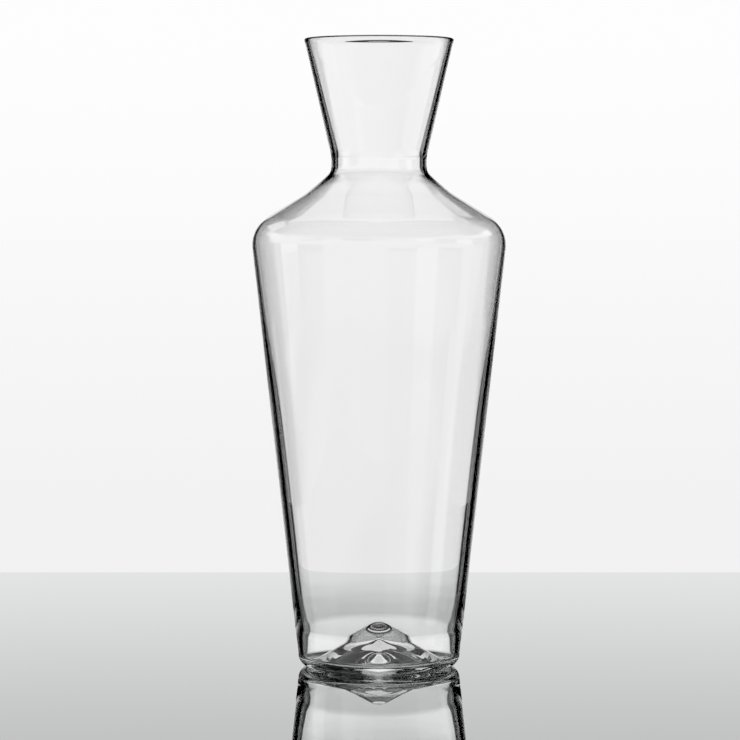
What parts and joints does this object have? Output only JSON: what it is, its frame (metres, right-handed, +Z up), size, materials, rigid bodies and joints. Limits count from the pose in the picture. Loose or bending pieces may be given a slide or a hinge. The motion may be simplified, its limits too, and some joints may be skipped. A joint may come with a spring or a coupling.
{
  "type": "wine decanter",
  "caption": "Tall clear glass decanter: flared mouth, narrow throat, sloping shoulder, body tapering to a thick heel, and a base pushed up into a solid central peak.",
  "frame": {"origin": "centre of the standing ring, on the surface that the decanter stands on", "axes": "+Z up along the axis of the glass, from the base to the mouth; X and Y lie in the standing plane"},
  "size_m": [0.1212, 0.1212, 0.3],
  "materials": {
    "clear_glass": "clear, colourless, fire-polished, no cut or pattern"
  },
  "bodies": {
    "root": {"decanter": "clear_glass"}
  },
  "joints": []
}
